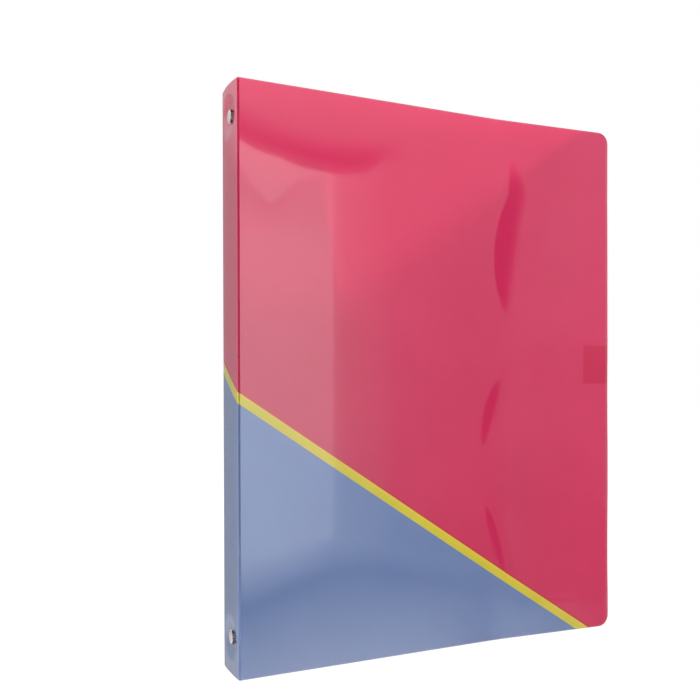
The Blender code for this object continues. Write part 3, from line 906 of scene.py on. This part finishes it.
def buildBlade(side):
    f = bladeForm
    name = side + "_blade"
    low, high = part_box(name)
    axis = jointPlaces[side + "_jaw_swing"]
    reach = abs(axis.y - middle)
    ends = (-f["edge"], reach - f["gap"])
    bm = slab(*ends, low.z, high.z, f["steel"], f["edgeRound"], f["corner"], ends)
    columns = stations(f["beadAt"] - 2 * f["beadWidth"], ends[1] - 2 * f["gap"], f["beadCell"])
    cutGrid(bm, columns, stations(low.z, high.z, f["row"])[1:-1])
    for v in bm.verts:
        q, z, out = v.co
        fromEnd = min(z - low.z, high.z - z)
        bead = f["beadDepth"] * math.exp(-((q - f["beadAt"]) / f["beadWidth"]) ** 2)
        bead *= easeIn(fromEnd, *f["beadEnds"])
        place = Vector((-q * math.sin(f["tilt"]), -q * math.cos(f["tilt"])))
        place += Vector((math.cos(f["tilt"]), -math.sin(f["tilt"]))) * (out - f["steel"] / 2 + bead)
        v.co = (axis.x + place.x, axis.y + sides[side] * place.y, z)
    bmesh.ops.recalc_face_normals(bm, faces=bm.faces[:])
    piece = meshPiece(side + "Blade", bm, metals["bladeSteel"], sharp=f["sharp"])
    standsFor(piece, "blade_steel", name)
    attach(piece, side + "_jaw")


ringForm = {
    "wire": 0.0013,               # half the wire's thickness
    "centreRise": 0.012,
    "radius": 0.0088,             # middle of the wire round the ring's centre
    "foot": 0.0026,               # from the blade's axis in to the stake
    "stake": 0.0014,
    "stakeHeight": 0.0005,
    "stakeEnd": [(0.0, 0.6), (0.00012, 0.9), (0.00028, 1.0)],   # its rounding: height, share of its radius
    "spigot": 0.0008,
    "seat": 0.0006,               # half the blade's thickness and a little air
    "shoulder": 0.0006,
    "bend": 0.0013,               # rounding where the leg leaves its shoulder
    "bendSteps": 5,
    "step": 0.00005,
    "shoulderRound": 0.00012,
    "tipGap": 0.0003,
    "tipChamfer": 0.0003,
    "tipTaper": 0.0002,
    "nose": 0.0007,               # peg on a front tip and the cup that takes it
    "noseLength": 0.00024,
    "noseShare": 0.6,
    "cupDepth": 0.0007,
    "cupFlare": 0.0001,
    "sidesRound": 20,
    "arcSteps": 22,
    "sharp": math.radians(38),
}


def ringPath(side):
    # stations as (reach, rise), way and wire radius, from the stake under the blade to the tip
    f = ringForm
    axis = jointPlaces["front_jaw_swing"]
    axisReach, axisRise = abs(axis.y - middle), axis.x - inner
    tilt = bladeForm["tilt"]
    foot = Vector((axisReach - f["foot"] * math.cos(tilt), axisRise - f["foot"] * math.sin(tilt)))
    up = Vector((-math.sin(tilt), math.cos(tilt)))
    under = -f["seat"] - f["stakeHeight"]
    heights = [(under + rise, share * f["stake"]) for rise, share in f["stakeEnd"]]
    heights += [(-f["seat"] - f["step"], f["stake"]), (-f["seat"], f["spigot"]), (f["seat"], f["spigot"])]
    shoulder = f["seat"] + f["step"]
    heights += [(shoulder, f["wire"] - f["shoulderRound"]), (shoulder + f["shoulderRound"], f["wire"])]
    path = [(foot + up * h, up, r) for h, r in heights]
    knee = foot + up * (f["seat"] + f["shoulder"])
    fall = f["centreRise"] - knee.y
    lean = math.atan2(fall, knee.x) - math.acos(f["radius"] / math.hypot(knee.x, fall))
    tangent = Vector((f["radius"] * math.cos(lean), f["centreRise"] - f["radius"] * math.sin(lean)))
    leg = (tangent - knee).normalized()
    for i in range(f["bendSteps"]):
        t = (i + 1) / f["bendSteps"]
        path.append((knee + leg * f["bend"] * t * t, (up * (1 - t) + leg * t).normalized(), f["wire"]))
    end = math.pi / 2 - f["tipGap"] / 2 / f["radius"]
    chamferTurn = f["tipChamfer"] / f["radius"]
    turns = stations(-lean, end - chamferTurn, (end + lean) / f["arcSteps"])
    for angle in turns + [end]:
        way = Vector((-math.sin(angle), math.cos(angle)))
        place = Vector((0, f["centreRise"])) + f["radius"] * Vector((math.cos(angle), math.sin(angle)))
        path.append((place, way, f["wire"] if angle < end else f["wire"] - f["tipTaper"]))
    tip, way, _ = path[-1]
    share = f["noseShare"]
    if side == "front":
        nose = [(0.0, f["nose"]), (share * f["noseLength"], f["nose"]), (f["noseLength"], share * f["nose"])]
    else:
        nose = [(0.0, f["nose"] + f["cupFlare"]), (-f["cupDepth"], f["nose"] - f["cupFlare"])]
    return path + [(tip + way * along, way, radius) for along, radius in nose]


def ringStation(side, level, place, way, radius):
    # matrix from a unit circle to the wire's section at a station
    reach, rise = place
    ahead = Vector((way.y, sides[side] * way.x, 0))
    upright = Vector((0, 0, 1))
    across = upright.cross(ahead)
    turn = Matrix((across, upright, ahead)).transposed().to_4x4()
    origin = Matrix.Translation((rise, sides[side] * reach, level))
    return origin @ turn @ Matrix.Diagonal((radius, radius, radius, 1))


def buildHalfRing(side, number):
    level = ringLevels[number - 1]
    frames = [ringStation(side, level, *station) for station in ringPath(side)]
    bm = bmesh.new()
    bmesh.ops.create_circle(bm, cap_ends=True, segments=ringForm["sidesRound"], radius=1.0, matrix=frames[0])
    loop = bm.edges[:]
    for before, after in zip(frames, frames[1:]):
        grown = bmesh.ops.extrude_edge_only(bm, edges=loop)["geom"]
        verts = vertsIn(grown)
        loop = [e for e in grown if isinstance(e, bmesh.types.BMEdge) and all(v in verts for v in e.verts)]
        bmesh.ops.transform(bm, matrix=after @ before.inverted(), verts=verts)
    bmesh.ops.contextual_create(bm, geom=loop)
    bmesh.ops.recalc_face_normals(bm, faces=bm.faces[:])
    setInSpine(bm)
    piece = meshPiece(f"{side}HalfRing{number}", bm, metals["ringNickel"], sharp=ringForm["sharp"])
    standsFor(piece, "ring_nickel", f"{side}_half_ring_{number}")
    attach(piece, side + "_jaw")


for side in sides:
    buildBlade(side)
    for number in ringNumbers:
        buildHalfRing(side, number)


rivetForm = {
    "sunk": 0.00082,              # drawn in with the sheet
    "headDepth": 0.00098,
    "edge": 0.00088,              # rounding of the head's edge
    "crown": math.radians(2),     # turn of the nearly flat top where the rounding starts
    "shank": 0.0019,
    "clinch": 0.0032,             # rolled inner end
    "clinchHeight": 0.0007,
    "hole": [(0.0017, 0.0001), (0.0012, 0.0005), (0.0006, 0.0011), (0.0, 0.0013)],   # radius and depth in it
    "crownSteps": 6,
    "edgeSteps": 7,
    "rollSteps": 8,
    "steps": 40,
}

turnedSharp = math.radians(42)


def arcPoints(centre, radius, start, end, steps):
    angles = [start + (end - start) * i / steps for i in range(steps + 1)]
    return [(centre[0] + radius * math.cos(a), centre[1] + radius * math.sin(a)) for a in angles]


def turnedPiece(name, profile, axisPoint, look, steps):
    # profile as (radius, distance along +X), spun round a line along X
    bm = bmesh.new()
    verts = [bm.verts.new(axisPoint + Vector((along, 0, radius))) for radius, along in profile]
    edges = [bm.edges.new(pair) for pair in zip(verts, verts[1:])]
    bmesh.ops.spin(bm, geom=verts + edges, cent=axisPoint, axis=(1, 0, 0), angle=2 * math.pi, steps=steps,
                   use_merge=True)
    bmesh.ops.remove_doubles(bm, verts=bm.verts[:], dist=1e-7)
    bmesh.ops.recalc_face_normals(bm, faces=bm.faces[:])
    return meshPiece(name, bm, look, sharp=turnedSharp)


def buildRivet(end):
    f = rivetForm
    node = end + "_rivet"
    low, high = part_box(node)
    centre = boxCentre(node)
    radius = (high.z - low.z) / 2
    top = low.x + f["sunk"]
    turn, edge = f["crown"], f["edge"]
    flatReach = radius - edge + edge * math.sin(turn)
    crownRadius = flatReach / math.sin(turn)
    crownTurns = stations(0, turn, turn / f["crownSteps"])
    head = [(crownRadius * math.sin(a), crownRadius * (1 - math.cos(a))) for a in crownTurns]
    edgeAt = crownRadius * (1 - math.cos(turn)) + edge * math.cos(turn)
    rim = arcPoints((radius - edge, edgeAt), edge, turn - math.pi / 2, 0, f["edgeSteps"])[1:]
    under = [(radius, f["headDepth"]), (f["shank"], f["headDepth"])]
    farEnd = high.x - top
    rollRadius = f["clinchHeight"] / 2
    seat = [(f["shank"], farEnd - f["clinchHeight"])]
    rollCentre = (f["clinch"] - rollRadius, farEnd - rollRadius)
    roll = arcPoints(rollCentre, rollRadius, -math.pi / 2, math.pi / 2, f["rollSteps"])
    hole = [(reach, farEnd - depth) for reach, depth in f["hole"]]
    profile = head + rim + under + seat + roll + hole
    axisPoint = Vector((top, centre.y, centre.z))
    piece = turnedPiece(end + "Rivet", profile, axisPoint, metals["rivetNickel"], f["steps"])
    standsFor(piece, "rivet_nickel", node)
    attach(piece, "spine")


collarForm = {"bore": 0.0021, "chamfer": 0.0003, "steps": 36}


def buildCollar(end):
    f = collarForm
    node = end + "_collar"
    low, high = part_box(node)
    start = low.x + sheetForm["rivetSeat"]
    radius, length, cut = (high.z - low.z) / 2, high.x - start, f["chamfer"]
    bore, wide = f["bore"], f["bore"] + cut
    profile = [(bore, cut), (wide, 0), (radius - cut, 0), (radius, cut), (radius, length - cut),
               (radius - cut, length), (wide, length), (bore, length - cut), (bore, cut)]
    centre = boxCentre(node)
    axisPoint = Vector((start, centre.y, centre.z))
    piece = turnedPiece(end + "Collar", profile, axisPoint, metals["collarSteel"], f["steps"])
    standsFor(piece, "collar_steel", node)
    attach(piece, "spine")


for end in rivetLevels:
    buildRivet(end)
    buildCollar(end)
print("mechanism made")


# Camera at the photograph's place

cameraForm = {
    "place": (-0.1275, -0.4242, 0.1534),      # from the spine's outer face, its middle and the floor
    "turn": math.radians(25.02),
    "lift": math.radians(-0.37),
    "roll": math.radians(-0.15),
    "focalPixels": 816.4,
    "imagePixels": 700,
    "centreDrop": 42.3,                        # the lens axis meets the picture this far below its middle
    "sensor": 36.0,
    "nearest": 0.01,
}


def buildCamera():
    f = cameraForm
    data = bpy.data.cameras.new("photoCamera")
    data.sensor_width = f["sensor"]
    data.lens = f["focalPixels"] / f["imagePixels"] * f["sensor"]
    data.shift_y = f["centreDrop"] / f["imagePixels"]
    data.clip_start = f["nearest"]
    camera = bpy.data.objects.new("photoCamera", data)
    bpy.context.scene.collection.objects.link(camera)
    ahead = Vector((math.sin(f["turn"]) * math.cos(f["lift"]), math.cos(f["turn"]) * math.cos(f["lift"]),
                    math.sin(f["lift"])))
    camera.location = Vector((spineFace, middle, 0)) + Vector(f["place"])
    turned = ahead.to_track_quat("-Z", "Y").to_matrix().to_4x4()
    camera.rotation_euler = (turned @ Matrix.Rotation(f["roll"], 4, "Z")).to_euler()
    bpy.context.scene.camera = camera
    return camera


camera = buildCamera()
print("camera set")


# Studio: pale floor, white surround, soft lamps, and cards that show only as reflections

studio = {
    "floorDrop": 0.0002,
    "floorSize": 4.0,
    "floorTone": (0.86, 0.86, 0.86),
    "floorGlow": 0.90,              # share of plain white that the camera sees in the floor
    "floorWhite": 1.10,
    "fill": 0.55,
    "cardDistance": 1.5,
    "cardStep": 0.01,               # each card hangs this far behind the one before
    "cardCuts": 4,
    "deckReach": (1.6, 1.4),
}

# Soft lamps: where they stand, what they face, how wide and how strong
lamps = {
    "softKey": {"place": (0.32, -1.0, 1.15), "aim": (0.0, 0.0, 0.20), "size": 0.9, "power": 15.0},
    "sideFill": {"place": (-1.15, -0.40, 0.45), "aim": (-0.12, 0.0, 0.16), "size": 0.8, "power": 2.4},
    "backFill": {"place": (0.45, 1.2, 0.95), "aim": (0.0, 0.0, 0.16), "size": 0.9, "power": 9.0},
}


def seenDirectly(tree):
    rays = addNode(tree, "ShaderNodeLightPath").outputs
    seen = calc(tree, "MAXIMUM", rays["Is Camera Ray"], rays["Is Glossy Ray"])
    return calc(tree, "MAXIMUM", seen, rays["Is Transmission Ray"])


def buildFloor():
    bm = bmesh.new()
    bmesh.ops.create_grid(bm, x_segments=1, y_segments=1, size=studio["floorSize"])
    bmesh.ops.translate(bm, vec=(0, 0, -studio["floorDrop"]), verts=bm.verts)
    look, tree = bareLook("paleFloor")
    matt = addNode(tree, "ShaderNodeBsdfDiffuse", {"Color": opaque(studio["floorTone"])})
    glow = addNode(tree, "ShaderNodeEmission", {"Color": opaque(white), "Strength": studio["floorWhite"]})
    seen = calc(tree, "MULTIPLY", seenDirectly(tree), studio["floorGlow"])
    mix = addNode(tree, "ShaderNodeMixShader", {0: seen, 1: matt.outputs[0], 2: glow.outputs[0]})
    addNode(tree, "ShaderNodeOutputMaterial", {"Surface": mix.outputs[0]})
    floor = meshPiece("studioFloor", bm, look)
    floor.visible_glossy = False


def buildSurround():
    world = bpy.data.worlds.new("whiteSurround")
    world.use_nodes = True
    bpy.context.scene.world = world
    tree = world.node_tree
    tree.nodes.clear()
    fill = addNode(tree, "ShaderNodeBackground", {"Color": opaque(white), "Strength": studio["fill"]})
    plain = addNode(tree, "ShaderNodeBackground", {"Color": opaque(white), "Strength": 1.0})
    sockets = {0: seenDirectly(tree), 1: fill.outputs[0], 2: plain.outputs[0]}
    mix = addNode(tree, "ShaderNodeMixShader", sockets)
    addNode(tree, "ShaderNodeOutputWorld", {"Surface": mix.outputs[0]})


def buildLamp(name, lamp):
    data = bpy.data.lights.new(name, "AREA")
    data.shape = "DISK"
    data.size = lamp["size"]
    data.energy = lamp["power"]
    light = bpy.data.objects.new(name, data)
    bpy.context.scene.collection.objects.link(light)
    light.location = lamp["place"]
    aim = Vector(lamp["aim"]) - light.location
    light.rotation_euler = aim.to_track_quat("-Z", "Y").to_euler()
    light.visible_camera = False
    light.visible_glossy = False


# Cards set out by where the cover mirrors them, in mm. Columns of a card: along the cover, its lower and
# upper limits up the cover, and its brightness at each. A nearer card hides those behind it.
coverCards = {
    "softBox": [(-50, 66, 236, 3.4, 3.9), (12, 64, 236, 3.7, 4.0), (34, 67, 236, 3.4, 3.9),
                (54, 71, 236, 3.2, 3.7)],
    "softHead": [(-50, 236, 293, 3.8, 3.1), (2, 236, 268, 3.7, 3.0), (19, 236, 251, 3.8, 2.9),
                 (35, 236, 266, 3.7, 3.0), (54, 236, 269, 3.5, 2.9)],
    "softPane": [(-50, 293, 296, 3.8, 3.8), (2, 268, 282, 3.8, 3.9), (19, 251, 277, 4.0, 3.9),
                 (35, 266, 272, 3.7, 3.5), (54, 269, 270, 3.2, 3.2)],
    "softBoxSide": [(54, 69, 270, 2.3, 2.4), (62, 68, 270, 1.7, 1.8), (75, 66, 273, 1.4, 1.5),
                    (88, 62, 282, 1.2, 1.2)],
    "lowFade": [(-50, 34, 66, 0.2, 3.3), (12, 38, 64, 0.2, 3.5), (34, 47, 67, 0.3, 3.2),
                (54, 50, 71, 0.2, 2.2), (75, 50, 66, 0.2, 1.4), (122, 40, 56, 0.5, 0.8),
                (150, 32, 50, 0.5, 0.7)],
    "gap": [(-50, 296, 303, 0.7, 0.1), (3, 282, 289, 0.9, 0.3), (29, 274, 281, 1.1, 0.1),
            (54, 270, 278, 0.8, 0.0), (74, 273, 281, 0.6, 0.1), (102, 285, 287, 1.1, 1.1)],
    "topFade": [(-50, 303, 316, 0.1, 1.6), (3, 289, 303, 0.3, 1.7), (29, 281, 295, 0.1, 1.5),
                (54, 278, 292, 0.0, 1.3), (74, 281, 294, 0.1, 1.4), (102, 287, 300, 1.1, 1.3),
                (150, 292, 308, 1.1, 1.1)],
    "topLight": [(-50, 316, 370, 1.6, 2.5), (3, 303, 370, 1.7, 2.6), (29, 295, 370, 1.5, 2.6),
                 (54, 292, 370, 1.3, 2.5), (102, 300, 370, 1.3, 2.2), (168, 308, 370, 1.1, 1.9)],
    "lowLight": [(-50, -40, 34, 6.2, 0.2), (12, -40, 38, 6.6, 0.2), (34, -40, 47, 6.5, 0.3),
                 (54, -40, 50, 6.2, 0.2), (75, -40, 50, 6.0, 0.2), (122, -40, 40, 5.0, 0.5),
                 (168, -40, 28, 1.5, 0.4)],
    "wall": [(80, 40, 330, 0.9, 1.3), (125, 36, 330, 0.5, 1.2), (168, 24, 330, 0.3, 1.2)],
    "darkSide": [(168, -350, 700, 0.4, 1.4), (176, -350, 700, 0.4, 0.8), (184, -350, 700, 0.2, 0.2),
                 (192, -350, 700, 0.0, 0.0), (600, -350, 700, 0.0, 0.0)],
}

# Walls that the spine, the folds and the rivets mirror: places in plan with a brightness, and the share of it
# at each height
darkBands = [(-1.4, 1.0), (-0.74, 1.0), (-0.66, 0.0), (-0.32, 0.0), (-0.24, 1.0), (0.48, 1.0), (0.58, 0.0),
             (1.08, 0.0), (1.16, 1.0), (1.7, 1.0)]
roomWalls = {
    "sideWall": {
        "along": [(-1.45, 1.5, 1.2), (-1.1, 1.5, 1.08), (-0.57, 1.5, 0.64), (0.0, 1.5, 0.38),
                  (0.9, 1.5, 0.25)],
        "levels": [(-1.4, 1.5), (-0.52, 1.5), (-0.38, 1.0), (0.72, 1.0), (0.84, 1.45), (1.3, 1.7)],
    },
    "leftWall": {"along": [(-1.45, 1.5, 0.4), (-1.45, -1.65, 0.4)], "levels": darkBands},
    "frontWall": {"along": [(-1.45, -1.65, 0.4), (0.16, -1.65, 0.4)], "levels": darkBands},
}

# Dark ceiling and depth below the floor, which only the reflections reach
darkDecks = {"darkAbove": 1.7, "darkBelow": -1.4}


def mirroredPlace(along, up, distance):
    # point in front of the cover whose mirror image the camera sees at this place on it
    face = middle - coverPlane - gauge / 2
    eye = camera.location
    mirrored = Vector((eye.x, 2 * face - eye.y, eye.z))
    ray = Vector((spineFace + along, face, up)) - mirrored
    return mirrored + ray * (distance + mirrored.y) / (mirrored.y - face)


def cardLook():
    look, tree = bareLook("cardGlow")
    bright = addNode(tree, "ShaderNodeAttribute", attribute_name="brightness").outputs["Fac"]
    glow = addNode(tree, "ShaderNodeEmission", {"Color": opaque(white), "Strength": bright})
    addNode(tree, "ShaderNodeOutputMaterial", {"Surface": glow.outputs[0]})
    return look


def hangCard(name, columns, look):
    # columns of (lower place, upper place, lower brightness, upper brightness)
    bm = bmesh.new()
    bright = bm.verts.layers.float.new("brightness")
    edges = []
    for side in (0, 1):
        verts = [bm.verts.new(column[side]) for column in columns]
        for v, column in zip(verts, columns):
            v[bright] = column[2 + side]
        edges += [bm.edges.new(pair) for pair in zip(verts, verts[1:])]
    bmesh.ops.bridge_loops(bm, edges=edges)
    uprights = [e for e in bm.edges if e not in edges]
    bmesh.ops.subdivide_edges(bm, edges=uprights, cuts=studio["cardCuts"], use_grid_fill=True)
    card = meshPiece(name, bm, look)
    card.visible_camera = False
    card.visible_diffuse = False
    card.visible_shadow = False
    card.visible_transmission = False


def hangCoverCards(look):
    distance = studio["cardDistance"]
    for name, card in coverCards.items():
        columns = []
        for along, low, high, *bright in card:
            places = [mirroredPlace(along / 1000, level / 1000, distance) for level in (low, high)]
            columns.append((*places, *bright))
        hangCard(name, columns, look)
        distance += studio["cardStep"]


def hangWalls(look):
    for name, wall in roomWalls.items():
        bands = zip(wall["levels"], wall["levels"][1:])
        for number, ((low, lowShare), (high, highShare)) in enumerate(bands, 1):
            columns = []
            for x, y, bright in wall["along"]:
                places = [Vector((x, y, level)) for level in (low, high)]
                columns.append((*places, bright * lowShare, bright * highShare))
            hangCard(f"{name}{number}", columns, look)


def hangDecks(look):
    width, depth = studio["deckReach"]
    for name, level in darkDecks.items():
        columns = [(Vector((x, -depth, level)), Vector((x, depth, level)), 0.0, 0.0) for x in (-width, width)]
        hangCard(name, columns, look)


buildFloor()
buildSurround()
for name, lamp in lamps.items():
    buildLamp(name, lamp)
cardGlow = cardLook()
hangCoverCards(cardGlow)
hangWalls(cardGlow)
hangDecks(cardGlow)
bpy.context.scene.view_settings.view_transform = "Standard"
print("studio set")
